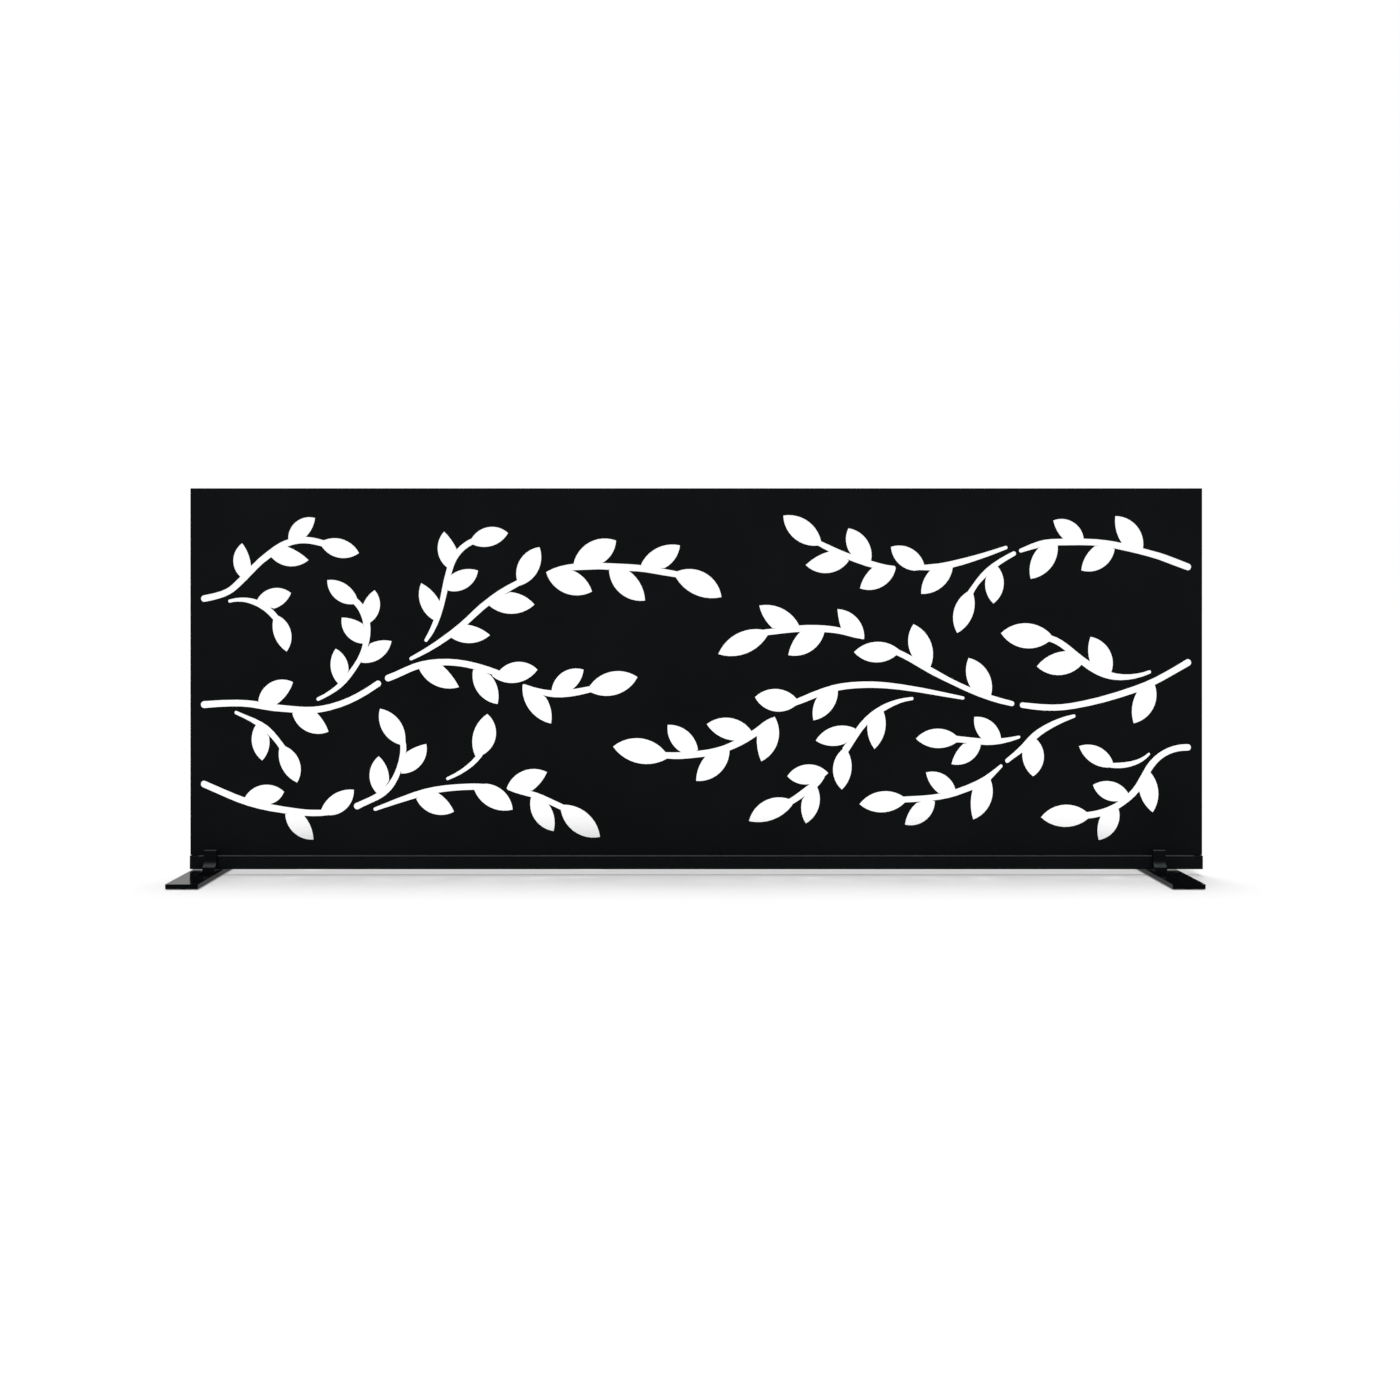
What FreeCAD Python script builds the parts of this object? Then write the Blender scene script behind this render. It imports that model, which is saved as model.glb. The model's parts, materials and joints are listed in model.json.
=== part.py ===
import FreeCAD, Part
import math
import os

# Decorative screen panel: a cut steel sheet with angles behind its edges. It stands in a
# bottom rail on two feet that clamp onto the rail and can be slid along it.
# Lengths are in millimetres. +X runs along the panel to the right, +Y to the back, +Z up.
# The origin is on the floor, under the middle of the panel.

V = FreeCAD.Vector

# Panel and sheet
panel_width = 1200.0
panel_height = 451.0
sheet_thickness = 2.0
seat_gap = 0.15

# Angles behind the sheet's edges
angle_flange = 11.0
angle_depth = 6.0
angle_wall = 1.5
angle_bend_round = 1.0

# Bottom rail and its end caps
rail_height = 16.0
rail_depth = 17.0
rail_wall = 1.6
rail_slot_depth = 11.0
rail_edge_round = 1.2
rail_groove_drop = 2.5
rail_groove_height = 1.2
rail_groove_depth = 0.6
rail_end_inset = 1.0
cap_length = 10.0
cap_end_wall = 3.0
cap_plug_length = 12.0
cap_plug_gap = 0.2

# Feet
foot_length = 255.0
foot_width = 37.0
foot_thickness = 5.4
foot_corner_round = 1.0
foot_edge_chamfer = 0.3
left_foot_inset = 19.9
right_foot_inset = 47.4
pad_radius = 7.0
pad_thickness = 1.0
pad_end_inset = 12.0
pad_edge_chamfer = 0.3
pads_per_foot = 2

# Saddles that grip the rail, nearer to the inner edge of each foot
saddle_width = 14.5
saddle_offset = 6.5
saddle_floor = 1.6
saddle_slide_gap = 0.3
saddle_jaw_height = 24.8
saddle_front_jaw = 6.0
saddle_rear_jaw = 3.0
saddle_toe_length = 8.0
saddle_toe_height = 5.9
saddle_toe_hollow = 7.0
saddle_toe_round = 0.6
saddle_rear_leg_length = 20.0
saddle_rear_leg_height = 3.6
saddle_jaw_round = 1.0

# Clamp screw at the back of each saddle
clamp_radius = 3.0
clamp_fit = 0.1
clamp_height_on_rail = 11.0
clamp_tip_gap = 0.3
knob_radius = 8.5
knob_length = 8.0
knob_neck_radius = 5.0
knob_neck_length = 3.0
knob_flutes = 12
knob_flute_radius = 1.6
knob_chamfer = 0.8
clamp_nut_flat = 10.0
clamp_nut_length = 4.0

# Screws that hold each saddle to its foot plate
base_screw_radius = 2.5
base_screw_head_radius = 4.6
base_screw_head_height = 2.4
base_screw_bite = 3.0
base_screw_fit = 0.1
base_screw_inset = 8.0
socket_flat = 3.0
socket_depth = 1.5
socket_sides = 6

# Rivets and rail screws
rivet_radius = 1.0
rivet_fit = 0.1
rivet_head_radius = 1.9
rivet_head_height = 0.6
side_rivet_count = 5
top_rivet_count = 9
rivet_end_inset = 25.0
rail_screw_radius = 1.5
rail_screw_fit = 0.1
rail_screw_head_radius = 2.8
rail_screw_head_height = 1.4
rail_screw_slot_width = 0.8
rail_screw_slot_depth = 0.6
rail_screw_count = 7
rail_screw_end_inset = 90.0
rail_screw_height_on_rail = 8.0
hole_overrun = 1.0

# Stations up and along the part, from the sizes above
foot_plate_bottom = pad_thickness
foot_plate_top = foot_plate_bottom + foot_thickness
rail_bottom = foot_plate_top + saddle_floor
rail_top = rail_bottom + rail_height
panel_top = rail_bottom + panel_height
clamp_height = rail_bottom + clamp_height_on_rail
half_width = panel_width / 2
half_sheet = sheet_thickness / 2
half_slot = half_sheet + seat_gap
half_rail = rail_depth / 2
angle_back = half_slot + angle_wall
rail_end = half_width - rail_end_inset
rail_half_length = rail_end - cap_length
slot_end = rail_end - cap_end_wall
saddle_inner = half_rail + saddle_slide_gap
saddle_rear_face = saddle_inner + saddle_rear_jaw
saddle_rear_end = saddle_rear_face + saddle_rear_leg_length

# The cut-outs are placed by pixels of the photograph, where the panel spans these pixels:
# left, top, right, bottom
PANEL_IN_PIXELS = (190.4, 488.3, 1202.1, 868.3)
leaf_root_pixels = 3.0

# Each sprig is a stem of (x, y, width) pixels and leaves of five pixel points:
# root corner, side, tip, side, root corner
SPRIGS_IN_PIXELS = [
    (((204, 598.5, 6.5), (217, 595.6, 6.5), (229.6, 590.4, 6.5), (239.5, 581.9, 6.8), (249.5, 572, 6.7),
      (259.7, 561.7, 6.6), (270, 553.5, 7), (280, 546.5, 7), (292, 541.5, 6.5), (305, 540, 6.5),
      (318, 542, 6.5), (328, 545, 6)),
     (((240.5, 577), (233, 560), (242, 543), (249.5, 558), (251, 567)),
      ((288, 539), (293, 524.5), (315, 518), (311, 530), (305.5, 537)),
      ((271, 557), (286.3, 565.8), (308.5, 560), (298.6, 552.2), (287, 546.5)),
      ((324, 540), (343, 539.5), (359, 553), (342, 558), (322, 547)))),
    (((229.5, 601, 3.2), (245, 599.8, 4.5), (257, 603, 6), (267, 609, 6.5), (275, 617, 6.5)),
     (((257, 599.5), (270, 588.8), (291, 593), (284, 603), (274, 608.5)),
      ((273, 619), (274.5, 637), (286.5, 651.5), (291.3, 634), (280, 616.5)))),
    (((318, 699, 3.5), (330, 692.5, 4), (340, 685, 5), (353, 669.6, 5), (361, 656.5, 5), (365.3, 645, 5.7),
      (367.1, 632, 6.6), (365.4, 618, 7), (360.6, 607.3, 7), (354.8, 600.8, 6.6)),
     (((354, 604), (338, 600.5), (327, 580), (347, 585), (357, 598)),
      ((362.5, 605.5), (367, 597), (374.5, 590), (380, 605), (370, 622.5)),
      ((363, 624), (354, 619.5), (341.5, 617.5), (347, 636), (363, 643.5)),
      ((370, 643.5), (380, 640.5), (391.5, 641), (380.3, 658.2), (361, 662.5)),
      ((348.5, 670.5), (345.5, 658), (335.5, 648.5), (330.5, 668), (338, 683.5)))),
    (((426, 640, 3.5), (433, 628, 5), (438.5, 614, 5.5), (442.5, 600, 5.5), (445, 588, 6), (448.5, 573, 6),
      (453.5, 559, 6), (461, 549, 6), (472, 541.5, 6)),
     (((471.5, 538.5), (486, 527.5), (508, 533), (491, 546), (473, 544.5)),
      ((447, 567.5), (437.5, 548), (444, 531.5), (452, 541), (456.5, 549)),
      ((451.5, 574.5), (464, 569.3), (478, 570.5), (468.5, 586.5), (448, 590.5)),
      ((440, 602), (433, 592), (421, 583), (421.5, 607), (434.5, 620.5)))),
    (((411, 658.5, 3.5), (430.2, 648, 5.1), (450.3, 634.4, 6), (467.3, 620.4, 6.1), (480, 608.5, 6.5),
      (488, 602, 6.5), (499.8, 593.6, 6.8), (509.7, 587.5, 6.3), (520.8, 581.6, 6)),
     (((517, 580.5), (521.5, 557.5), (539.5, 547), (538.5, 569.5), (520, 585.5)),
      ((510, 592), (523, 595.5), (534.5, 604.5), (511, 613.7), (489, 605.5)),
      ((466.5, 624.5), (479, 628), (490, 635), (470, 643), (451, 637.5)))),
    (((547.5, 572, 1.5), (560, 568.5, 4.5), (573, 567, 6.5), (600, 566, 6.5), (625, 567.3, 6.8),
      (640, 568.2, 6.6), (660, 571.3, 6.5), (677, 574.3, 6)),
     (((546, 572), (560, 590.5), (592, 591.5), (585, 579), (573, 570.5)),
      ((573.5, 563.5), (586, 544.5), (616, 540.5), (611, 555), (603, 562.5)),
      ((609, 570), (618, 591), (645, 600.5), (639.8, 582.8), (629, 571)),
      ((641, 564.5), (653.3, 550.2), (680, 545.3), (674, 560), (664.5, 568)),
      ((678, 571), (706.2, 573.6), (721.5, 597), (694, 594), (676, 577.5)))),
    (((388, 678, 6.5), (400, 673, 6.5), (415, 666.5, 6.5), (430, 663, 6.5), (445, 662, 6.5),
      (460, 663, 6.5), (475, 666, 6.5), (490, 670.5, 6.5), (500, 674, 6)),
     (((419, 669), (434.5, 685), (459, 687), (452.5, 676.5), (442.5, 665.5)),
      ((473, 669.5), (478, 692.5), (497.5, 704), (497.5, 688), (490.5, 675)),
      ((499, 671), (515, 662), (537.5, 669.5), (515.5, 682.7), (492, 676)))),
    (((524, 685, 2), (537, 690.5, 5), (551, 693.5, 6.5), (570, 693, 7), (592, 688.7, 6)),
     (((522.5, 684.5), (529, 709), (551, 723.5), (550.5, 708), (545.5, 697)),
      ((551.5, 690.5), (561, 673.5), (583.5, 669.5), (580, 680.5), (572.5, 689)),
      ((590, 685.5), (611, 671.7), (637.5, 677), (613, 695.2), (590.5, 692)))),
    (((204, 704.5, 6.9), (230, 703, 6.6), (250, 703.7, 6.7), (270, 707, 7), (290, 709, 6.6), (310, 710, 6.5),
      (330, 707, 6.1), (350, 700, 6.1), (365, 692, 6.1), (378, 683.5, 6.1)),
     (((258, 701), (268, 684), (293, 682), (287, 694), (276, 704.5)),
      ((292, 713), (302, 728.5), (328.5, 731.5), (324, 722), (316.5, 712.5)))),
    (((236, 712.5, 3.5), (246, 717, 4), (257, 722.5, 5.5), (267, 729.5, 6.5), (276, 739, 6),
      (283, 748.5, 6.5)),
     (((255.5, 725), (251.5, 742), (262, 760.5), (269, 747), (269, 736.5)),
      ((279, 748), (281, 766.5), (297, 782.5), (299.5, 761.5), (286, 746.5)))),
    (((204, 784, 6.8), (220, 791, 6.8), (244, 800.8, 7), (270, 807.5, 7), (285, 810, 6.8),
      (305, 812.5, 6.5), (325, 812.5, 6), (338, 810.5, 5)),
     (((244.5, 797.5), (263, 784.8), (284, 791.5), (278.5, 799.5), (269.5, 804)),
      ((285, 814), (292, 831), (313.5, 839.5), (310.5, 826), (304, 815.5)),
      ((321, 809.5), (334, 794), (353.8, 789.5), (348, 806.5), (330, 815.2)))),
    (((357, 806, 6.5), (369.8, 800.1, 6), (379.6, 795, 6.4), (388.5, 787.6, 6.3), (395.6, 776.8, 5.8),
      (400.5, 764, 5.5), (403, 752, 6), (402.5, 740, 5.5)),
     (((376.5, 793), (369.3, 775.5), (378.7, 756), (387, 768), (389, 780.5)),
      ((406.5, 752), (415, 747.3), (426.3, 743.8), (421, 764.5), (401, 773.5)),
      ((399.5, 744.5), (383.8, 733), (379.8, 708.5), (399, 720), (405.3, 741)))),
    (((375, 809, 3.5), (390, 803.5, 4.5), (410, 796.5, 6), (425, 792, 6.5), (440, 789, 6.5),
      (460, 787, 6.3), (474, 786.5, 6.3), (490, 787.5, 6)),
     (((416, 798.5), (433, 813.7), (454, 811.5), (447.5, 801), (438, 792.7)),
      ((474, 789.5), (487.6, 805.8), (512.7, 809.5), (503.5, 791), (486, 783.5)))),
    (((447.5, 778.5, 3), (456, 774.5, 3.5), (465, 769, 4.2), (473, 762.5, 4.7), (480, 754.5, 5)),
     (((475, 755.5), (473.3, 733), (487.3, 713.8), (495.2, 739), (482, 755)),)),
    (((508, 789, 1.5), (520, 791.5, 5), (533, 794.5, 6), (548, 800.5, 6), (564, 808, 6)),
     (((506.5, 788.5), (520, 772.3), (547, 772), (540.5, 782.5), (532, 790.5)),
      ((531, 797), (534, 818), (553.5, 831), (553.7, 815), (548.5, 804)),
      ((565, 804.5), (586.3, 812.4), (600, 836.8), (573, 830.5), (561, 811)))),
    (((818, 542.5, 5), (832, 549.5, 6), (850, 557, 6), (871, 564, 6.5), (885, 567, 5), (894, 567.3, 3)),
     (((818, 545.5), (794, 538), (783.3, 515.5), (808.5, 521.5), (821, 540.5)),
      ((829, 551.5), (817, 556.5), (805.7, 565), (827, 573), (849, 560.5)),
      ((852.5, 555.8), (846, 541), (848.5, 528.2), (866, 538.5), (871, 561.5)),
      ((872, 568), (864.5, 577), (860, 588.3), (884, 585.5), (896, 567.5)))),
    (((912, 568, 3), (925, 567.5, 5.5), (940, 566.5, 6.5), (955, 563.5, 6.5), (975, 558, 5.5),
      (992, 552.5, 4.5), (1006, 547.5, 3.5)),
     (((914.5, 570.6), (898.6, 563.4), (891, 546.8), (911.5, 548.5), (924.5, 565)),
      ((930.5, 570), (924, 579.5), (921.2, 593.8), (942, 587), (953, 567)))),
    (((1014, 553.5, 4.5), (1005, 558.5, 5), (995.3, 564.9, 5.5), (985.5, 573.3, 6), (977.5, 582.2, 5.2),
      (971, 592, 6)),
     (((998, 566.5), (1004, 584), (993.5, 603.5), (985.8, 590), (986, 577.5)),
      ((969.5, 590.5), (954, 610), (957.3, 633), (972.5, 616), (973.5, 594)))),
    (((1021, 550.5, 4), (1032, 546.5, 5.5), (1045, 543, 6.5), (1060, 542, 6.5), (1080, 541.8, 6.5),
      (1100, 542.7, 6.5), (1120, 546, 6.8), (1141, 551, 6.5), (1160, 556.3, 6.8), (1180, 563.8, 7),
      (1188, 566.8, 6.8)),
     (((1038.5, 548), (1031.3, 560), (1030.7, 578.8), (1053.8, 563.6), (1058, 545)),
      ((1063.5, 539), (1057, 530.5), (1053.3, 520.5), (1075.8, 523.8), (1084, 538.5)),
      ((1095, 546), (1086, 556), (1081.3, 570.3), (1104, 566.7), (1115, 549)),
      ((1121.8, 543), (1116, 529.5), (1115.3, 516), (1137.5, 526.5), (1143.3, 548.5)))),
    (((764, 632.5, 6), (785, 630, 6), (800, 628.5, 6.5), (820, 628.5, 6.8), (840, 630.7, 6.1),
      (855, 635.1, 4.8), (863, 637.8, 2.5)),
     (((762, 629.5), (739.5, 632.5), (718.3, 654), (749.4, 651.9), (767.5, 635.5)),
      ((772.5, 628), (764, 617.5), (759.3, 605.5), (785, 610), (799, 625)),
      ((800, 632), (792, 643.5), (788.3, 655), (815, 648), (824.5, 632)),
      ((841, 627.5), (838.7, 618.5), (837.5, 609), (857.5, 618.5), (864.3, 639)))),
    (((896, 651.5, 6), (912, 659.5, 6), (930, 670, 6.2), (949.8, 680.5, 5.2), (971, 690.4, 5.2),
      (990, 697.5, 5.5), (1012, 703.5, 5)),
     (((898.5, 649), (877, 641.7), (854, 652), (878, 662.3), (896.5, 655)),
      ((912.3, 656), (908.2, 640), (913.5, 624), (930.5, 641), (930.5, 667)),
      ((971.3, 688.3), (966, 672), (968.6, 657.8), (987.5, 671), (991, 696)))),
    (((790, 704.5, 5), (804, 699, 6.5), (820, 692.5, 6.5), (835, 687.8, 6.5), (855, 685, 6.5),
      (875, 684.6, 6.3), (900, 686.8, 5.6), (925, 690.7, 4.9), (947, 694.9, 4.1), (963, 697.9, 3.2)),
     (((796.5, 698.5), (776, 688.8), (755, 697), (775, 711.3), (795, 706)),
      ((817.3, 697), (813, 708.5), (813.5, 720.3), (834, 706), (838, 690.5)))),
    (((912, 698.5, 3.2), (900, 700.8, 4.2), (886, 706.5, 6), (874, 714, 6.5), (863, 724.5, 6.5),
      (854, 737, 6.5), (846, 749, 7)),
     (((883, 710), (885.5, 728.5), (874.5, 749), (868.5, 736.5), (867.5, 723.5)),
      ((855.5, 728.5), (833, 726.8), (815.7, 740.5), (831, 745.8), (845, 743.5)),
      ((841, 750.5), (833, 769), (842, 789.5), (851.7, 768.5), (848, 751.5)))),
    (((664, 755, 6), (680, 755.5, 6.8), (700, 753.8, 6.5), (715, 751.5, 7), (730, 746.5, 7),
      (745, 739, 7.5), (757, 731.5, 7), (766, 724.5, 7), (772, 719, 3)),
     (((665.5, 752), (637, 738), (613, 746.5), (643, 763.8), (667, 758.5)),
      ((681, 752), (671.5, 742.5), (667.7, 724.7), (689, 732.5), (698, 750)),
      ((705, 756.8), (698.5, 768), (696.2, 780.8), (720.5, 772), (729.5, 750)),
      ((751.5, 731), (730, 717.8), (706.8, 724), (718.5, 735.5), (734.5, 740.5)),
      ((757, 735.5), (757.3, 747), (761.3, 761.3), (778.3, 740), (774.5, 716.3)))),
    (((822, 777, 5), (814, 785, 7), (806, 791, 7), (797, 797.5, 6.5), (789, 802.5, 6.5)),
     (((810, 784), (799, 783.5), (787.3, 776), (807.5, 764.3), (828.3, 773)),
      ((817, 786.5), (819.5, 804), (806, 823.3), (801.2, 808.5), (802.5, 799)),
      ((789.5, 799), (762.5, 802), (749, 821), (776.5, 818), (792, 805.5)))),
    (((956, 739, 6.5), (972, 740.5, 6), (990, 741.8, 6.2), (1005, 740.3, 5), (1019, 737, 3)),
     (((956.5, 735.5), (938, 728.5), (916, 738.5), (939, 748), (956.5, 742.5)),
      ((982, 738.8), (976, 730), (974.3, 716.8), (993.5, 723), (1001.3, 739)),
      ((963.5, 743.5), (955.8, 753), (951.5, 764), (973.5, 758.5), (981, 745)))),
    (((902, 799.5, 6), (920, 798.6, 6), (938, 796.7, 6.1), (955, 792.7, 6.5), (970, 787.2, 6.6),
      (985, 780, 7), (994, 772.5, 5), (1001, 766, 3.5)),
     (((903.5, 796.5), (884, 791), (859.5, 804), (882, 812.3), (905, 802.5)),
      ((938.8, 793), (930.5, 784), (926, 772.3), (946.5, 776), (955.5, 789)),
      ((916.5, 802.8), (908.8, 812.5), (905, 824.5), (928.5, 817.5), (935, 801)),
      ((990, 778), (992.3, 797.5), (973.3, 819.5), (970.8, 803), (972.7, 789.5)))),
    (((1007.5, 760.5, 4.5), (1015, 754.5, 5), (1024, 747, 6.5), (1034, 736.5, 7), (1045, 728.5, 6.5),
      (1059, 721.3, 5.5), (1074, 716, 3.5)),
     (((1022.5, 750.5), (1024.5, 765), (1033.3, 776.3), (1044.2, 757), (1036.5, 739)),)),
    (((1022.6, 705, 5.4), (1040, 707, 6.1), (1060, 707.3, 6.1), (1080, 704.5, 6.2), (1100, 700, 6.4),
      (1130, 691, 6.6), (1152, 682.5, 6.7), (1170, 673, 6.5), (1188, 662.5, 7)),
     (((1137, 692), (1132.2, 706.5), (1133.8, 723.3), (1152.5, 710), (1155, 684.5)),)),
    (((1049, 638, 6.5), (1062, 644, 6.5), (1075, 654.5, 7), (1085, 662.5, 7.5), (1095, 669, 8),
      (1110, 675.4, 7), (1130, 676.8, 5.1), (1149.6, 671.9, 3.5)),
     (((1050.5, 633.6), (1027.5, 623.2), (1001, 633), (1029, 648.3), (1049, 641.5)),
      ((1066.5, 651), (1051, 654.8), (1036.8, 666.3), (1060, 675), (1082, 664.5)),
      ((1090.7, 663.5), (1088.2, 649.5), (1090.5, 636.7), (1109.8, 650.3), (1111.5, 672.5)))),
    (((1108, 765, 4), (1120, 765.3, 5.5), (1132, 763.5, 5), (1141, 760, 4), (1149, 754, 2.8)),
     (((1113, 761.5), (1101, 747.8), (1079, 746), (1089, 760.5), (1108, 767.5)),)),
    (((1188, 747.3, 6.5), (1176, 748.5, 6.5), (1163, 754, 6.5), (1152, 764, 7), (1144, 777, 7),
      (1136, 790, 7), (1126.6, 799.2, 6.6), (1114.8, 807.2, 6.6), (1100, 813, 6.8), (1086, 815.3, 6.5)),
     (((1150, 771.5), (1158.7, 792.5), (1153, 812.3), (1142.8, 800.5), (1139, 789)),
      ((1128.5, 793), (1112.5, 781.5), (1093, 784.8), (1103.5, 798), (1119.5, 801)),
      ((1100.7, 816), (1097.5, 829), (1098.8, 840), (1115.5, 829.5), (1119, 809)),
      ((1087, 812), (1069, 804.6), (1041, 817), (1067, 826.8), (1088.5, 818.5)))),
]


def block(x_ends, y_ends, z_ends):
    """A block between two ends on each axis, given in either order."""
    corner = V(min(x_ends), min(y_ends), min(z_ends))
    far = V(max(x_ends), max(y_ends), max(z_ends)) - corner
    return Part.makeBox(far.x, far.y, far.z, corner)


def mirrored_in_y(points):
    """The outline points followed by the same points on the other side of y = 0."""
    return points + [(-y, z) for y, z in reversed(points)]


def bar_along_x(outline, start_x, length):
    """A bar whose section is an outline of (y, z) points."""
    corners = [V(start_x, y, z) for y, z in outline]
    face = Part.Face(Part.makePolygon(corners + corners[:1]))
    return face.extrude(V(length, 0, 0))


def rounded_along_x(shape, radius, wanted):
    """Rounds the long edges whose middles meet the test."""
    long_enough = shape.BoundBox.XLength - seat_gap
    edges = [edge for edge in shape.Edges
             if edge.BoundBox.XLength > long_enough and wanted(edge.CenterOfMass)]
    return shape.makeFillet(radius, edges)


def rod_along_y(radius, x, start_y, z, length):
    """A round rod pointing to the back."""
    return Part.makeCylinder(radius, length, V(x, start_y, z), V(0, 1, 0))


def spread(first, last, count):
    """Even places from the first to the last."""
    return [first + (last - first) * index / (count - 1) for index in range(count)]


def place_on_panel(x_pixel, y_pixel):
    """The spot in front of the sheet that a pixel shows."""
    left, top, right, bottom = PANEL_IN_PIXELS
    x = (x_pixel - left) / (right - left) * panel_width - half_width
    z = panel_top - (y_pixel - top) / (bottom - top) * panel_height
    return V(x, -half_sheet - hole_overrun, z)


def through_sheet(edges):
    """A cutter through the sheet from one closed outline on its front."""
    wire = Part.Wire(Part.__sortEdges__(edges))
    return Part.Face(wire).extrude(V(0, sheet_thickness + 2 * hole_overrun, 0))


def smooth_through(points):
    """A smooth edge through the points."""
    curve = Part.BSplineCurve()
    curve.interpolate(points)
    return curve.toShape()


def stem_directions(stem):
    """The unit direction of the stem at each of its points."""
    directions = []
    for index in range(len(stem)):
        before = stem[max(index - 1, 0)]
        after = stem[min(index + 1, len(stem) - 1)]
        run = math.hypot(after[0] - before[0], after[1] - before[1])
        directions.append(V((after[0] - before[0]) / run, (after[1] - before[1]) / run, 0))
    return directions


def stem_cutter(stem):
    """A tapering slot with round ends along the stem's middle line."""
    left = []
    right = []
    along = stem_directions(stem)
    for (x, y, width), way in zip(stem, along):
        left.append(place_on_panel(x - way.y * width / 2, y + way.x * width / 2))
        right.append(place_on_panel(x + way.y * width / 2, y - way.x * width / 2))
    x, y, width = stem[0]
    start = place_on_panel(x - along[0].x * width / 2, y - along[0].y * width / 2)
    x, y, width = stem[-1]
    end = place_on_panel(x + along[-1].x * width / 2, y + along[-1].y * width / 2)
    end_cap = Part.Arc(left[-1], end, right[-1]).toShape()
    start_cap = Part.Arc(right[0], start, left[0]).toShape()
    return through_sheet([smooth_through(left), end_cap, smooth_through(right), start_cap])


def leaf_cutter(leaf):
    """A pointed leaf of two arcs whose root reaches a little way into the stem."""
    tip_x, tip_y = leaf[2]
    middle_x = (leaf[0][0] + leaf[-1][0]) / 2
    middle_y = (leaf[0][1] + leaf[-1][1]) / 2
    reach = leaf_root_pixels / math.hypot(middle_x - tip_x, middle_y - tip_y)
    root = place_on_panel(middle_x + (middle_x - tip_x) * reach, middle_y + (middle_y - tip_y) * reach)
    corner_a, belly_a, tip, belly_b, corner_b = [place_on_panel(*spot) for spot in leaf]
    side_a = Part.Arc(corner_a, belly_a, tip).toShape()
    side_b = Part.Arc(tip, belly_b, corner_b).toShape()
    return through_sheet([side_a, side_b, Part.makeLine(corner_b, root), Part.makeLine(root, corner_a)])


def sprig_cutters():
    """Every stem and leaf of the pattern as a cutter."""
    cutters = []
    for stem, leaves in SPRIGS_IN_PIXELS:
        cutters.append(stem_cutter(stem))
        cutters.extend(leaf_cutter(leaf) for leaf in leaves)
    return cutters


def side_rivet_places(side):
    """Rivet centres (x, z) up one side of the panel."""
    x = side * (half_width - (angle_flange + angle_wall) / 2)
    low = rail_top + rivet_end_inset
    high = panel_top - angle_flange - rivet_end_inset
    return [(x, z) for z in spread(low, high, side_rivet_count)]


def top_rivet_places():
    """Rivet centres (x, z) along the top of the panel."""
    z = panel_top - (angle_flange + angle_wall) / 2
    end = half_width - rivet_end_inset
    return [(x, z) for x in spread(-end, end, top_rivet_count)]


def rail_screw_places():
    """Screw centres (x, z) along the bottom rail."""
    z = rail_bottom + rail_screw_height_on_rail
    end = half_width - rail_screw_end_inset
    return [(x, z) for x in spread(-end, end, rail_screw_count)]


def drilled(shape, places, radius):
    """The shape with round holes along Y at the places."""
    return shape.cut([rod_along_y(radius, x, -half_rail, z, rail_depth) for x, z in places])


def make_sheet():
    """The flat steel sheet with the leaf cut-outs and a tongue for the rail's slot."""
    face_bottom = rail_top + seat_gap
    tongue_end = slot_end - seat_gap
    tongue_bottom = rail_top - rail_slot_depth + seat_gap
    sheet = block((-half_width, half_width), (-half_sheet, half_sheet), (face_bottom, panel_top))
    tongue = block((-tongue_end, tongue_end), (-half_sheet, half_sheet), (tongue_bottom, face_bottom))
    sheet = sheet.fuse(tongue).removeSplitter().cut(sprig_cutters())
    rivets = side_rivet_places(-1) + side_rivet_places(1) + top_rivet_places()
    sheet = drilled(sheet, rivets, rivet_radius + rivet_fit)
    sheet = drilled(sheet, rail_screw_places(), rail_screw_radius + rail_screw_fit)
    return max(sheet.Solids, key=lambda solid: solid.Volume)


def make_side_angle(side):
    """An angle behind one side edge, from the rail up to the top angle."""
    outer = side * half_width
    z_ends = (rail_top + seat_gap, panel_top - angle_flange - seat_gap)
    flange = block((outer, side * (half_width - angle_flange)), (half_slot, angle_back), z_ends)
    web = block((outer, side * (half_width - angle_wall)), (half_slot, half_slot + angle_depth), z_ends)
    angle = flange.fuse(web).removeSplitter()
    bends = [edge for edge in angle.Edges
             if abs(edge.CenterOfMass.x - outer) < seat_gap and edge.CenterOfMass.y < half_slot + seat_gap
             and edge.BoundBox.ZLength > angle_flange]
    angle = angle.makeFillet(angle_bend_round, bends)
    return drilled(angle, side_rivet_places(side), rivet_radius + rivet_fit)


def make_top_angle():
    """An angle behind the whole top edge."""
    low = panel_top - angle_flange
    web_bottom = panel_top - angle_wall
    angle = bar_along_x([(half_slot, low), (half_slot, panel_top), (half_slot + angle_depth, panel_top),
                         (half_slot + angle_depth, web_bottom), (angle_back, web_bottom),
                         (angle_back, low)], -half_width, panel_width)

    def is_bend(spot):
        return spot.z > panel_top - seat_gap and spot.y < half_slot + seat_gap

    angle = rounded_along_x(angle, angle_bend_round, is_bend)
    return drilled(angle, top_rivet_places(), rivet_radius + rivet_fit)


def rail_outline():
    """The rail's outside, with a shallow groove below each top edge."""
    groove_top = rail_top - rail_groove_drop
    groove_bottom = groove_top - rail_groove_height
    groove_y = -half_rail + rail_groove_depth
    return mirrored_in_y([(-half_rail, rail_top), (-half_rail, groove_top), (groove_y, groove_top),
                          (groove_y, groove_bottom), (-half_rail, groove_bottom),
                          (-half_rail, rail_bottom)])


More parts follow.
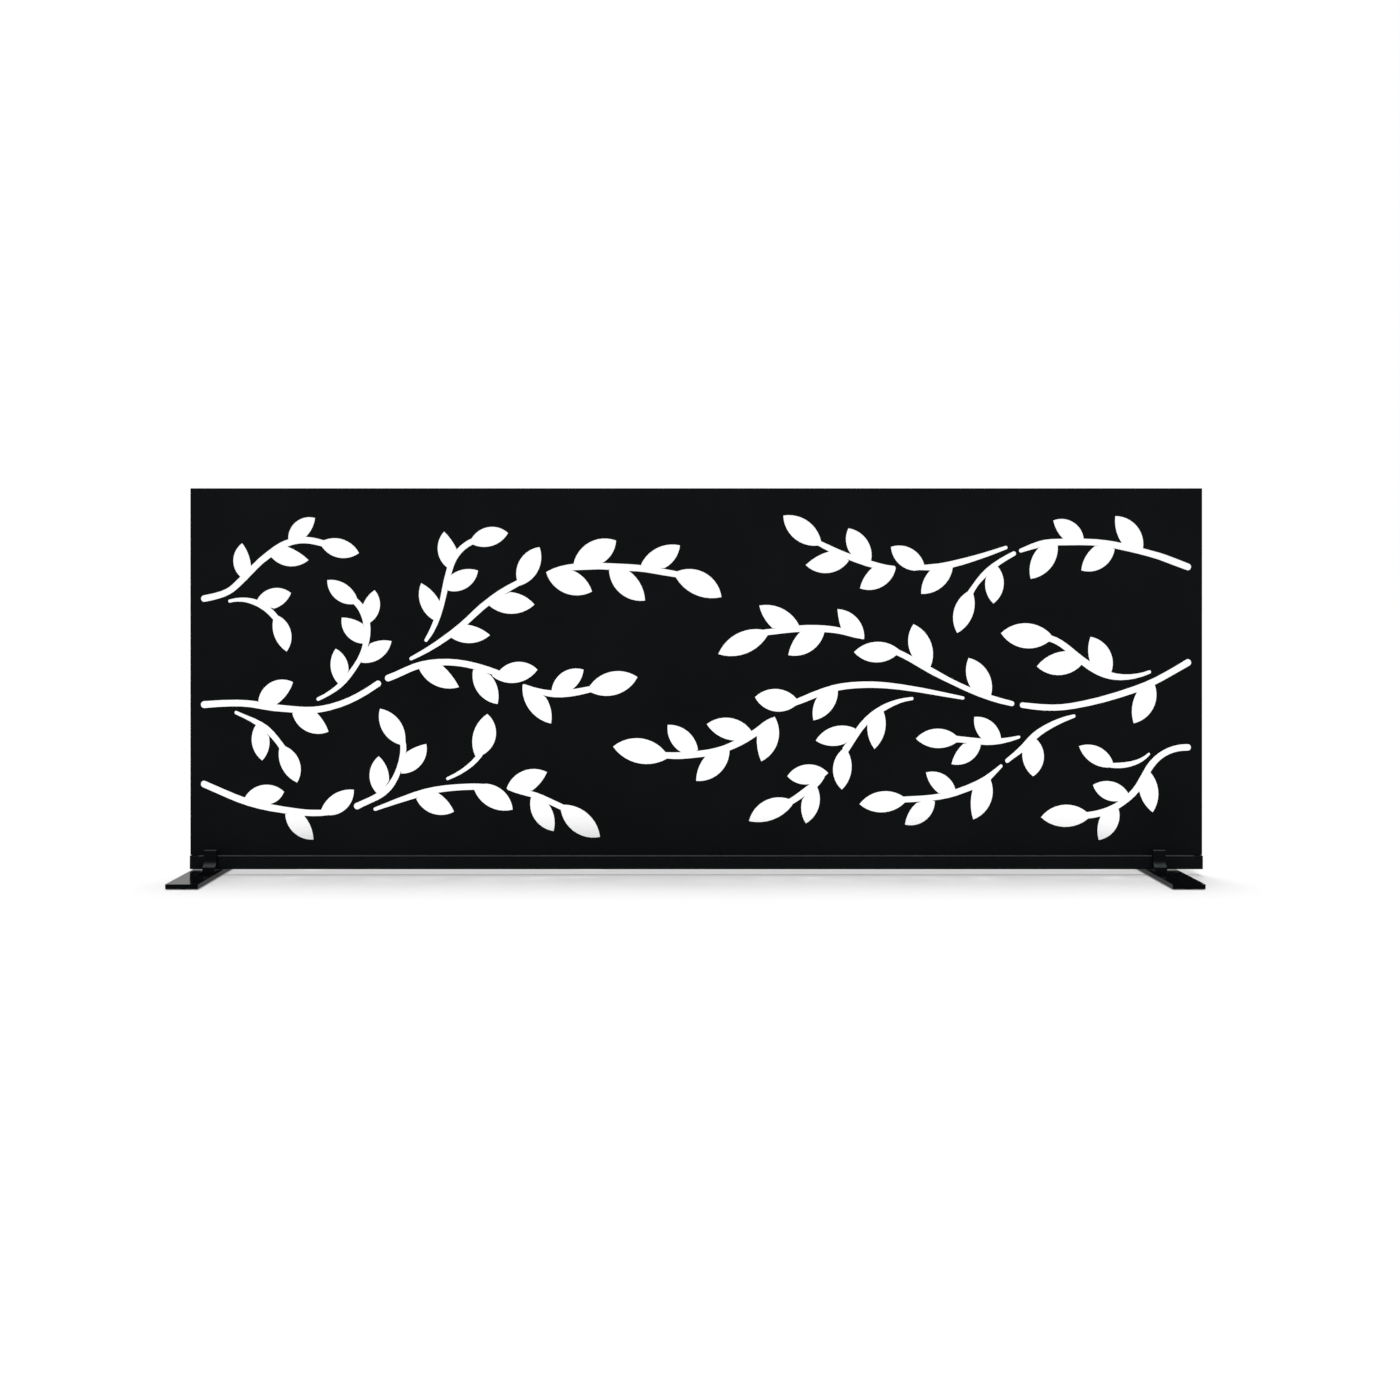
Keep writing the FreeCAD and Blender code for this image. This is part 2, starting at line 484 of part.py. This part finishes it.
def rail_bar(start_x, end_x):
    """A solid length of the rail's outside with its four long edges rounded."""
    def is_outer(spot):
        at_side = abs(abs(spot.y) - half_rail) < seat_gap
        return at_side and min(abs(spot.z - rail_top), abs(spot.z - rail_bottom)) < seat_gap

    bar = bar_along_x(rail_outline(), min(start_x, end_x), abs(end_x - start_x))
    return rounded_along_x(bar, rail_edge_round, is_outer)


def rail_cells(start_x, end_x, gap):
    """The two hollow cells beside the rail's slot, smaller by a gap."""
    inner = half_slot + rail_wall + gap
    outer = half_rail - rail_groove_depth - rail_wall - gap
    z_ends = (rail_bottom + rail_wall + gap, rail_top - rail_wall - gap)
    front = block((start_x, end_x), (-outer, -inner), z_ends)
    back = block((start_x, end_x), (inner, outer), z_ends)
    return [front, back]


def rail_slot(start_x, end_x):
    """The slot that the sheet's tongue stands in."""
    z_ends = (rail_top - rail_slot_depth, rail_top + hole_overrun)
    return block((start_x, end_x), (-half_slot, half_slot), z_ends)


def rail_screw(x, z, gap):
    """One countersunk screw from the back of the rail through the sheet, or its hole."""
    tip_y = -half_slot - rail_wall - gap
    shank = rod_along_y(rail_screw_radius + gap, x, tip_y, z, half_rail - tip_y)
    head = Part.makeCone(rail_screw_radius + gap, rail_screw_head_radius + gap, rail_screw_head_height,
                         V(x, half_rail - rail_screw_head_height, z), V(0, 1, 0))
    return shank.fuse(head).removeSplitter()


def make_bottom_rail():
    """The extruded rail: a slot for the sheet between two hollow cells."""
    rail = rail_bar(-rail_half_length, rail_half_length)
    cuts = rail_cells(-rail_half_length, rail_half_length, 0)
    cuts.append(rail_slot(-rail_half_length, rail_half_length))
    cuts.extend(rail_screw(x, z, rail_screw_fit) for x, z in rail_screw_places())
    return rail.cut(cuts)


def make_rail_screws():
    """Slotted countersunk screws, flush with the back of the rail."""
    screws = []
    for x, z in rail_screw_places():
        slot = block((x - rail_screw_head_radius, x + rail_screw_head_radius),
                     (half_rail - rail_screw_slot_depth, half_rail + hole_overrun),
                     (z - rail_screw_slot_width / 2, z + rail_screw_slot_width / 2))
        screws.append(rail_screw(x, z, 0).cut(slot))
    return Part.makeCompound(screws)


def make_end_cap(side):
    """A moulded cap over one end of the rail, with plugs in its two cells."""
    inner_end = side * rail_half_length
    cap = rail_bar(inner_end, side * rail_end)
    cap = cap.cut(rail_slot(inner_end, side * slot_end))
    plug_end = side * (rail_half_length - cap_plug_length)
    return cap.fuse(rail_cells(plug_end, inner_end, cap_plug_gap)).removeSplitter()


def make_rivets(places):
    """Rivets flush with the sheet's front, with a low head on the back of the angle."""
    rivets = []
    for x, z in places:
        shank = rod_along_y(rivet_radius, x, -half_sheet, z, half_sheet + angle_back)
        head = Part.makeCone(rivet_head_radius, rivet_radius, rivet_head_height,
                             V(x, angle_back, z), V(0, 1, 0))
        rivets.append(shank.fuse(head).removeSplitter())
    return Part.makeCompound(rivets)


def base_screw_places(saddle_x):
    """Where a saddle's two base screws stand, (x, y)."""
    front_y = -saddle_inner - (saddle_front_jaw + saddle_toe_length) / 2
    return [(saddle_x, front_y), (saddle_x, saddle_rear_end - base_screw_inset)]


def base_screw(x, y, gap):
    """A base screw's head and shank, or the hole for them with a gap."""
    foot = V(x, y, foot_plate_bottom)
    head = Part.makeCone(base_screw_head_radius + gap, base_screw_radius + gap, base_screw_head_height, foot)
    shank = Part.makeCylinder(base_screw_radius + gap, foot_thickness + base_screw_bite + gap, foot)
    return head.fuse(shank).removeSplitter()


def hexagon(x, y, z, flat, height):
    """An upright hexagonal prism by its width across flats."""
    reach = flat / 2 / math.cos(math.pi / socket_sides)
    points = []
    for turn in range(socket_sides):
        angle = 2 * math.pi * turn / socket_sides
        points.append(V(x + reach * math.cos(angle), y + reach * math.sin(angle), z))
    return Part.Face(Part.makePolygon(points + points[:1])).extrude(V(0, 0, height))


def make_base_screws(saddle_x):
    """Two countersunk screws from below, with a hexagon socket."""
    screws = []
    for x, y in base_screw_places(saddle_x):
        socket = hexagon(x, y, foot_plate_bottom, socket_flat, socket_depth)
        screws.append(base_screw(x, y, 0).cut(socket))
    return Part.makeCompound(screws)


def make_foot_plate(foot_x, saddle_x):
    """The flat foot that runs from front to back."""
    half = foot_width / 2
    plate = block((foot_x - half, foot_x + half), (-foot_length / 2, foot_length / 2),
                  (foot_plate_bottom, foot_plate_top))
    corners = [edge for edge in plate.Edges if edge.BoundBox.ZLength > foot_thickness - seat_gap]
    plate = plate.makeFillet(foot_corner_round, corners)
    rims = [edge for edge in plate.Edges if edge.BoundBox.ZLength < seat_gap]
    plate = plate.makeChamfer(foot_edge_chamfer, rims)
    return plate.cut([base_screw(x, y, base_screw_fit) for x, y in base_screw_places(saddle_x)])


def make_foot_pads(foot_x):
    """Round rubber pads under the two ends of a foot."""
    reach = foot_length / 2 - pad_end_inset
    pads = []
    for y in spread(-reach, reach, pads_per_foot):
        pad = Part.makeCylinder(pad_radius, pad_thickness, V(foot_x, y, 0))
        rim = [edge for edge in pad.Edges if edge.Closed and edge.CenterOfMass.z < pad_thickness / 2]
        pads.append(pad.makeChamfer(pad_edge_chamfer, rim))
    return Part.makeCompound(pads)


def make_saddle(saddle_x):
    """The saddle that the rail stands in: a floor, two jaws, a hollow toe and a rear leg."""
    front_face = -saddle_inner - saddle_front_jaw
    toe_end = front_face - saddle_toe_length
    toe_top = foot_plate_top + saddle_toe_height
    jaw_top = foot_plate_top + saddle_jaw_height
    leg_top = foot_plate_top + saddle_rear_leg_height
    outline = [(toe_end, foot_plate_top), (toe_end, toe_top), (front_face, toe_top), (front_face, jaw_top),
               (-saddle_inner, jaw_top), (-saddle_inner, rail_bottom), (saddle_inner, rail_bottom),
               (saddle_inner, jaw_top), (saddle_rear_face, jaw_top), (saddle_rear_face, leg_top),
               (saddle_rear_end, leg_top), (saddle_rear_end, foot_plate_top)]
    saddle = bar_along_x(outline, saddle_x - saddle_width / 2, saddle_width)

    def is_near(spot, y, z):
        return abs(spot.y - y) < seat_gap and abs(spot.z - z) < seat_gap

    saddle = rounded_along_x(saddle, saddle_toe_hollow, lambda spot: is_near(spot, front_face, toe_top))
    saddle = rounded_along_x(saddle, saddle_toe_round, lambda spot: is_near(spot, toe_end, toe_top))
    saddle = rounded_along_x(saddle, saddle_jaw_round, lambda spot: is_near(spot, front_face, jaw_top)
                             or is_near(spot, saddle_rear_face, jaw_top)
                             or is_near(spot, saddle_rear_end, leg_top))
    holes = [base_screw(x, y, base_screw_fit) for x, y in base_screw_places(saddle_x)]
    holes.append(rod_along_y(clamp_radius + clamp_fit, saddle_x, saddle_inner - hole_overrun, clamp_height,
                             saddle_rear_jaw + 2 * hole_overrun))
    return saddle.cut(holes)


def make_clamp_nut(saddle_x):
    """A square nut welded behind the rear jaw."""
    half = clamp_nut_flat / 2
    nut = block((saddle_x - half, saddle_x + half), (saddle_rear_face, saddle_rear_face + clamp_nut_length),
                (clamp_height - half, clamp_height + half))
    return nut.cut(rod_along_y(clamp_radius + clamp_fit, saddle_x, saddle_rear_face - hole_overrun,
                               clamp_height, clamp_nut_length + 2 * hole_overrun))


def make_clamp_screw(saddle_x):
    """A thumb screw whose tip faces the back of the rail."""
    tip_y = half_rail + clamp_tip_gap
    neck_y = saddle_rear_face + clamp_nut_length + seat_gap
    knob_y = neck_y + knob_neck_length
    shank = rod_along_y(clamp_radius, saddle_x, tip_y, clamp_height, neck_y - tip_y)
    neck = rod_along_y(knob_neck_radius, saddle_x, neck_y, clamp_height, knob_neck_length)
    knob = rod_along_y(knob_radius, saddle_x, knob_y, clamp_height, knob_length)
    knob = knob.makeChamfer(knob_chamfer, [edge for edge in knob.Edges if edge.Closed])
    flutes = []
    for turn in range(knob_flutes):
        angle = 2 * math.pi * turn / knob_flutes
        x = saddle_x + knob_radius * math.cos(angle)
        z = clamp_height + knob_radius * math.sin(angle)
        flutes.append(rod_along_y(knob_flute_radius, x, knob_y - hole_overrun, z,
                                  knob_length + 2 * hole_overrun))
    return shank.fuse([neck, knob.cut(flutes)]).removeSplitter()


def write_part(name, shape):
    """Writes one sub-part and says what it holds."""
    shape.exportStep("parts/" + name + ".step")
    print(name, "solids", len(shape.Solids), "volume", round(shape.Volume), "valid", shape.isValid())


def main():
    """Builds every sub-part of the screen."""
    os.makedirs("parts", exist_ok=True)
    write_part("screen_sheet", make_sheet())
    write_part("top_angle", make_top_angle())
    write_part("bottom_rail", make_bottom_rail())
    write_part("top_rivets", make_rivets(top_rivet_places()))
    write_part("rail_screws", make_rail_screws())
    for name, side in (("left", -1), ("right", 1)):
        write_part(name + "_side_angle", make_side_angle(side))
        write_part(name + "_side_rivets", make_rivets(side_rivet_places(side)))
        write_part(name + "_rail_cap", make_end_cap(side))
    left_foot_x = left_foot_inset - half_width
    right_foot_x = half_width - right_foot_inset
    for name, foot_x, saddle_x in (("left", left_foot_x, left_foot_x + saddle_offset),
                                   ("right", right_foot_x, right_foot_x - saddle_offset)):
        write_part(name + "_foot_plate", make_foot_plate(foot_x, saddle_x))
        write_part(name + "_foot_pads", make_foot_pads(foot_x))
        write_part(name + "_saddle", make_saddle(saddle_x))
        write_part(name + "_base_screws", make_base_screws(saddle_x))
        write_part(name + "_clamp_nut", make_clamp_nut(saddle_x))
        write_part(name + "_clamp_screw", make_clamp_screw(saddle_x))


main()
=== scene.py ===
import json
import math

import bpy
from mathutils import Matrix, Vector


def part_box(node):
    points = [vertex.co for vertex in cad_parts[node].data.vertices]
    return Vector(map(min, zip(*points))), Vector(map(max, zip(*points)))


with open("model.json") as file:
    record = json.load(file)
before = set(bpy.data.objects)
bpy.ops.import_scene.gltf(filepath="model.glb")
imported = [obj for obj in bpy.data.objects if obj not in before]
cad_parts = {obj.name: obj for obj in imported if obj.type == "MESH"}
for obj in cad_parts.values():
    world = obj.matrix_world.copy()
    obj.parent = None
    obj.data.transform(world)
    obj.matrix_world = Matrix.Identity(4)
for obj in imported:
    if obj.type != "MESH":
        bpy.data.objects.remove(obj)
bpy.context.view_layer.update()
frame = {"nodes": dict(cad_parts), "record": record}
nodes = frame["nodes"]

# The photograph's view: a level camera that looks straight ahead at the eye pixel
PHOTO_SIZE = 1400
PHOTO_SHEET_LEFT = 190.4
PHOTO_SHEET_RIGHT = 1202.1
PHOTO_SHEET_TOP = 488.3
PHOTO_EYE_X = 671.6
PHOTO_EYE_Y = 609.0
CAMERA_DISTANCE = 2.4
CAMERA_TILT = 90
SENSOR_WIDTH = 36.0

# Light. Together these bring the open floor just to white, and the object's shadow to grey.
FLOOR_SIZE = 400.0
FLOOR_WHITE = 0.86
FLOOR_ROUGHNESS = 0.9
FLOOR_GLOW = 0.17
WORLD_LIGHT = 0.198
WORLD_SEEN = 1.0
# Each lamp: lean towards the front in degrees, half of its width in degrees, power
LAMPS = [(-8, 9, 0.50), (-17, 9, 0.84), (50, 10, 1.93)]

# Finishes, in linear colour
WHITE = (1, 1, 1, 1)
PANEL_BLACK = (0.0023, 0.0030, 0.0033, 1)
RAIL_BLACK = (0.0026, 0.0034, 0.0038, 1)
FOOT_BLACK = (0.0020, 0.0026, 0.0031, 1)
PLASTIC_BLACK = (0.0011, 0.0015, 0.0018, 1)
# A painted highlight: a pale colour laid on faces that look up, in place of the light from above on them
PAINTED_TOP_HIGHLIGHT = (0.058, 0.066, 0.068, 1)
STEEL_BLACK = (0.014, 0.015, 0.016, 1)
RUBBER_BLACK = (0.012, 0.012, 0.012, 1)
BARE_STEEL = (0.10, 0.105, 0.11, 1)

# Powder coats by material slot: name, colour, roughness from and to, shine, grain, width of worn
# edges in metres, and whether a painted highlight lies on the faces that look up
POWDER_COATS = {
    "panel_coat": ("panel_powder_coat", PANEL_BLACK, (0.42, 0.58), 0.035, 0.18, 0.0004, False),
    "rail_coat": ("rail_powder_coat", RAIL_BLACK, (0.34, 0.46), 0.035, 0.12, 0.0005, True),
    "saddle_coat": ("saddle_powder_coat", RAIL_BLACK, (0.38, 0.5), 0.03, 0.15, 0.0005, True),
    "foot_coat": ("foot_powder_coat", FOOT_BLACK, (0.08, 0.13), 0.012, 0.03, 0.0006, False),
}
# Surface patterns. Scales are in waves per metre, heights in metres, and a spread is the part of
# the noise that is used.
PLAIN_DETAIL = 2.0
RICH_DETAIL = 3.0
RICHEST_DETAIL = 4.0
PLAIN_CONTRAST = 0.5
GRAINY_CONTRAST = 0.6
FULL = (0.0, 1.0)
NOISE_SPREAD = (0.3, 0.7)
COAT_PEEL_SCALE = 420.0
COAT_PEEL_HEIGHT = 0.0002
COAT_GRAIN_SCALE = 2600.0
COAT_GRAIN_HEIGHT = 0.00008
COAT_CLOUD_SCALE = 7.0
COAT_CLOUD_SPREAD = (0.35, 0.65)
COAT_DARK = 0.85
COAT_PALE = 1.25
COAT_THIN = 4.0

# Wear, and a painted highlight on faces that look up
SHARP_EDGE = (0.99, 0.80)
WEAR_SAMPLES = 4
WEAR_PATCH_SCALE = 160.0
WEAR_PATCH_SPREAD = (0.52, 0.70)
LOOKS_UP = (0.35, 0.85)
HIGHLIGHT_PATCH_SCALE = 90.0
HIGHLIGHT_PATCH_SPREAD = (0.3, 0.6)
HIGHLIGHT_PATCH_COVER = (0.75, 1.0)

# Moulded plastic, blackened steel and rubber
CAP_GRAIN_SCALE = 1600.0
KNOB_GRAIN_SCALE = 1100.0
PLASTIC_PALE = 1.5
PLASTIC_ROUGHNESS = (0.42, 0.6)
PLASTIC_SHINE = 0.05
PLASTIC_GRAIN = 0.25
PLASTIC_GRAIN_HEIGHT = 0.0002
STEEL_METALLIC = 0.6
STEEL_WEAR_WIDTH = 0.0004
STEEL_MOTTLE_SCALE = 900.0
STEEL_PALE = 1.6
STEEL_ROUGHNESS_SCALE = 1500.0
STEEL_ROUGHNESS = (0.3, 0.5)
STEEL_GRAIN_SCALE = 1200.0
STEEL_GRAIN = 0.15
STEEL_GRAIN_HEIGHT = 0.0002
RUBBER_GRAIN_SCALE = 1800.0
RUBBER_PALE = 2
RUBBER_ROUGHNESS = (0.75, 0.95)
RUBBER_GRAIN = 0.4
RUBBER_GRAIN_HEIGHT = 0.0003

# Rounds of sharp edges, in metres
EDGE_ROUNDS = {
    "bottom_rail": 0.0003,
    "left_saddle": 0.0006,
    "right_saddle": 0.0006,
    "left_foot_plate": 0.0003,
    "right_foot_plate": 0.0003,
    "left_rail_cap": 0.0004,
    "right_rail_cap": 0.0004,
}
EDGE_SEGMENTS = 2
EDGE_ANGLE = 35

# The colour sockets of a mix node, which share their names with its other sockets
MIX_FIRST = 6
MIX_SECOND = 7
MIX_RESULT = 2


def scaled(colour, factor):
    """The colour made paler or darker by a factor."""
    return tuple(part * factor for part in colour[:3]) + (1,)


def add_node(tree, kind, **values):
    """A shader node with its properties or its sockets set by name."""
    node = tree.nodes.new(kind)
    for name, value in values.items():
        if name in node.inputs:
            node.inputs[name].default_value = value
        else:
            setattr(node, name, value)
    return node


def noise(tree, place, scale, detail=PLAIN_DETAIL, contrast=PLAIN_CONTRAST):
    """Noise at a scale of waves per metre, with finer waves in it by its detail and contrast."""
    node = add_node(tree, "ShaderNodeTexNoise", Scale=scale, Detail=detail, Roughness=contrast)
    tree.links.new(place, node.inputs["Vector"])
    return node.outputs["Fac"]


def remapped(tree, value, old_range, new_range):
    """The value stretched from one range to another, held at the ends."""
    node = add_node(tree, "ShaderNodeMapRange")
    for name, number in zip(("From Min", "From Max", "To Min", "To Max"), old_range + new_range):
        node.inputs[name].default_value = number
    tree.links.new(value, node.inputs["Value"])
    return node.outputs["Result"]


def joined(tree, operation, first, second):
    """Two values taken together by a math operation."""
    node = add_node(tree, "ShaderNodeMath", operation=operation)
    tree.links.new(first, node.inputs[0])
    tree.links.new(second, node.inputs[1])
    return node.outputs["Value"]


def blended(tree, factor, first, second):
    """A colour between two, by a factor. Each is a plain colour or a socket."""
    node = add_node(tree, "ShaderNodeMix", data_type="RGBA")
    tree.links.new(factor, node.inputs["Factor"])
    for index, colour in ((MIX_FIRST, first), (MIX_SECOND, second)):
        if isinstance(colour, tuple):
            node.inputs[index].default_value = colour
        else:
            tree.links.new(colour, node.inputs[index])
    return node.outputs[MIX_RESULT]


def bumped(tree, height, strength, distance, below=None):
    """A normal raised by a height, on top of another normal where one is given."""
    node = add_node(tree, "ShaderNodeBump", Strength=strength, Distance=distance)
    tree.links.new(height, node.inputs["Height"])
    if below:
        tree.links.new(below, node.inputs["Normal"])
    return node.outputs["Normal"]


def start_material(name):
    """A node material with its shader."""
    material = bpy.data.materials.new(name)
    material.use_nodes = True
    return material, material.node_tree, material.node_tree.nodes["Principled BSDF"]


def own_place(tree):
    """The object's own coordinates, so that the pattern rides along with the piece."""
    return tree.nodes.new("ShaderNodeTexCoord").outputs["Object"]


def edge_wear(tree, place, width):
    """How worn a spot is: high on sharp edges, broken up by noise."""
    bevel = add_node(tree, "ShaderNodeBevel", Radius=width, samples=WEAR_SAMPLES)
    geometry = tree.nodes.new("ShaderNodeNewGeometry")
    dot = add_node(tree, "ShaderNodeVectorMath", operation="DOT_PRODUCT")
    tree.links.new(bevel.outputs["Normal"], dot.inputs[0])
    tree.links.new(geometry.outputs["Normal"], dot.inputs[1])
    sharp = remapped(tree, dot.outputs["Value"], SHARP_EDGE, FULL)
    patches = noise(tree, place, WEAR_PATCH_SCALE, RICHEST_DETAIL)
    return joined(tree, "MULTIPLY", sharp, remapped(tree, patches, WEAR_PATCH_SPREAD, FULL))


def painted_top_highlight_mask(tree, place):
    """1 on faces that look up, 0 on upright ones, a little broken up: where a pale colour is painted on
    as a highlight, standing in for the light from above.
    """
    way = tree.nodes.new("ShaderNodeNewGeometry").outputs["Normal"]
    parts = tree.nodes.new("ShaderNodeSeparateXYZ")
    tree.links.new(way, parts.inputs[0])
    upward = remapped(tree, parts.outputs["Z"], LOOKS_UP, FULL)
    patches = noise(tree, place, HIGHLIGHT_PATCH_SCALE, RICH_DETAIL)
    return joined(tree, "MULTIPLY", upward, remapped(tree, patches, HIGHLIGHT_PATCH_SPREAD, HIGHLIGHT_PATCH_COVER))


def powder_coat(name, colour, roughness, shine, grain, wear_width, paints_top_highlight):
    """Baked powder paint: orange peel, a fine grain, faint clouds, thin paint on edges and, where asked,
    a painted highlight on upward faces.
    """
    material, tree, shader = start_material(name)
    place = own_place(tree)
    peel = noise(tree, place, COAT_PEEL_SCALE)
    fine = noise(tree, place, COAT_GRAIN_SCALE, PLAIN_DETAIL, GRAINY_CONTRAST)
    clouds = noise(tree, place, COAT_CLOUD_SCALE, RICH_DETAIL)
    cloudy = remapped(tree, clouds, COAT_CLOUD_SPREAD, FULL)
    base = blended(tree, cloudy, scaled(colour, COAT_DARK), scaled(colour, COAT_PALE))
    base = blended(tree, edge_wear(tree, place, wear_width), base, scaled(colour, COAT_THIN))
    # Painted highlight: faces that look up are made paler, standing in for the light from above
    if paints_top_highlight:
        base = blended(tree, painted_top_highlight_mask(tree, place), base, PAINTED_TOP_HIGHLIGHT)
    tree.links.new(base, shader.inputs["Base Color"])
    tree.links.new(remapped(tree, fine, NOISE_SPREAD, roughness), shader.inputs["Roughness"])
    shader.inputs["Specular IOR Level"].default_value = shine
    normal = bumped(tree, fine, grain, COAT_GRAIN_HEIGHT)
    normal = bumped(tree, peel, grain, COAT_PEEL_HEIGHT, normal)
    tree.links.new(normal, shader.inputs["Normal"])
    return material


def moulded_plastic(name, grain_scale):
    """Moulded plastic with a fine spark-eroded grain."""
    material, tree, shader = start_material(name)
    grain = noise(tree, own_place(tree), grain_scale, RICH_DETAIL, GRAINY_CONTRAST)
    base = blended(tree, grain, PLASTIC_BLACK, scaled(PLASTIC_BLACK, PLASTIC_PALE))
    tree.links.new(base, shader.inputs["Base Color"])
    tree.links.new(remapped(tree, grain, NOISE_SPREAD, PLASTIC_ROUGHNESS), shader.inputs["Roughness"])
    shader.inputs["Specular IOR Level"].default_value = PLASTIC_SHINE
    tree.links.new(bumped(tree, grain, PLASTIC_GRAIN, PLASTIC_GRAIN_HEIGHT), shader.inputs["Normal"])
    return material


def blackened_steel(name):
    """Blackened steel, rubbed bright where it is handled."""
    material, tree, shader = start_material(name)
    place = own_place(tree)
    shader.inputs["Metallic"].default_value = STEEL_METALLIC
    mottle = noise(tree, place, STEEL_MOTTLE_SCALE, RICH_DETAIL)
    base = blended(tree, mottle, STEEL_BLACK, scaled(STEEL_BLACK, STEEL_PALE))
    base = blended(tree, edge_wear(tree, place, STEEL_WEAR_WIDTH), base, BARE_STEEL)
    tree.links.new(base, shader.inputs["Base Color"])
    smears = noise(tree, place, STEEL_ROUGHNESS_SCALE)
    tree.links.new(remapped(tree, smears, NOISE_SPREAD, STEEL_ROUGHNESS), shader.inputs["Roughness"])
    grain = noise(tree, place, STEEL_GRAIN_SCALE)
    tree.links.new(bumped(tree, grain, STEEL_GRAIN, STEEL_GRAIN_HEIGHT), shader.inputs["Normal"])
    return material


def pad_rubber(name):
    """Dull rubber with a fine pebble grain."""
    material, tree, shader = start_material(name)
    grain = noise(tree, own_place(tree), RUBBER_GRAIN_SCALE, RICH_DETAIL)
    base = blended(tree, grain, RUBBER_BLACK, scaled(RUBBER_BLACK, RUBBER_PALE))
    tree.links.new(base, shader.inputs["Base Color"])
    tree.links.new(remapped(tree, grain, NOISE_SPREAD, RUBBER_ROUGHNESS), shader.inputs["Roughness"])
    tree.links.new(bumped(tree, grain, RUBBER_GRAIN, RUBBER_GRAIN_HEIGHT), shader.inputs["Normal"])
    return material


def dress_frame():
    """Gives every CAD node the finish of its material slot."""
    finishes = {slot: powder_coat(*values) for slot, values in POWDER_COATS.items()}
    finishes["cap_plastic"] = moulded_plastic("cap_moulded_plastic", CAP_GRAIN_SCALE)
    finishes["knob_plastic"] = moulded_plastic("knob_moulded_plastic", KNOB_GRAIN_SCALE)
    finishes["black_steel"] = blackened_steel("blackened_steel")
    finishes["pad_rubber"] = pad_rubber("pebbled_rubber")
    for entry in frame["record"]["subparts"]:
        piece = nodes[entry["node"]]
        for place in piece.material_slots:
            place.material = finishes[entry["material_slot"]]


def soften_edges():
    """Rounds the sharp edges of the folded and cast pieces, as paint does."""
    for name, width in EDGE_ROUNDS.items():
        bevel = nodes[name].modifiers.new("paint_round", "BEVEL")
        bevel.width = width
        bevel.segments = EDGE_SEGMENTS
        bevel.limit_method = "ANGLE"
        bevel.angle_limit = math.radians(EDGE_ANGLE)


def seen_directly(tree):
    """1 for camera, mirror and glass rays, 0 for light that bounces."""
    rays = tree.nodes.new("ShaderNodeLightPath")
    total = rays.outputs["Is Camera Ray"]
    for kind in ("Is Glossy Ray", "Is Transmission Ray"):
        total = joined(tree, "MAXIMUM", total, rays.outputs[kind])
    return total


def make_floor():
    """A plain white floor that keeps the object's shadow."""
    bpy.ops.mesh.primitive_plane_add(size=FLOOR_SIZE, location=(0, 0, 0))
    floor = bpy.context.object
    floor.name = "floor"
    material, tree, shader = start_material("floor_white")
    shader.inputs["Base Color"].default_value = scaled(WHITE, FLOOR_WHITE)
    shader.inputs["Roughness"].default_value = FLOOR_ROUGHNESS
    shader.inputs["Specular IOR Level"].default_value = 0.0
    glow = add_node(tree, "ShaderNodeEmission", Color=WHITE)
    strength = remapped(tree, seen_directly(tree), FULL, (0.0, FLOOR_GLOW))
    tree.links.new(strength, glow.inputs["Strength"])
    total = tree.nodes.new("ShaderNodeAddShader")
    tree.links.new(shader.outputs[0], total.inputs[0])
    tree.links.new(glow.outputs[0], total.inputs[1])
    tree.links.new(total.outputs[0], tree.nodes["Material Output"].inputs["Surface"])
    floor.data.materials.append(material)


def make_world():
    """Soft even light from all round, and white behind the object."""
    world = bpy.data.worlds.new("studio")
    bpy.context.scene.world = world
    world.use_nodes = True
    tree = world.node_tree
    background = tree.nodes["Background"]
    background.inputs["Color"].default_value = WHITE
    strength = remapped(tree, seen_directly(tree), FULL, (WORLD_LIGHT, WORLD_SEEN))
    tree.links.new(strength, background.inputs["Strength"])


def make_lights():
    """Soft lamps in one plane across the screen, from behind the top to high in front."""
    for lean, half_width, power in LAMPS:
        data = bpy.data.lights.new("lamp", "SUN")
        data.angle = math.radians(2 * half_width)
        data.energy = power
        lamp = bpy.data.objects.new("lamp", data)
        bpy.context.collection.objects.link(lamp)
        lamp.rotation_euler = (math.radians(lean), 0, 0)


def make_camera():
    """A level camera at the photograph's distance, height and framing."""
    low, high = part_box("screen_sheet")
    metres_per_pixel = (high.x - low.x) / (PHOTO_SHEET_RIGHT - PHOTO_SHEET_LEFT)
    sheet_middle = (PHOTO_SHEET_LEFT + PHOTO_SHEET_RIGHT) / 2
    data = bpy.data.cameras.new("camera")
    data.sensor_width = SENSOR_WIDTH
    data.lens = SENSOR_WIDTH * (CAMERA_DISTANCE + low.y) / (PHOTO_SIZE * metres_per_pixel)
    data.shift_x = (PHOTO_SIZE / 2 - PHOTO_EYE_X) / PHOTO_SIZE
    data.shift_y = (PHOTO_EYE_Y - PHOTO_SIZE / 2) / PHOTO_SIZE
    camera = bpy.data.objects.new("camera", data)
    bpy.context.collection.objects.link(camera)
    across = (PHOTO_EYE_X - sheet_middle) * metres_per_pixel
    height = high.z - (PHOTO_EYE_Y - PHOTO_SHEET_TOP) * metres_per_pixel
    camera.location = (across, -CAMERA_DISTANCE, height)
    camera.rotation_euler = (math.radians(CAMERA_TILT), 0, 0)
    bpy.context.scene.camera = camera


dress_frame()
soften_edges()
make_floor()
make_world()
make_lights()
make_camera()
bpy.context.scene.view_settings.view_transform = "Standard"
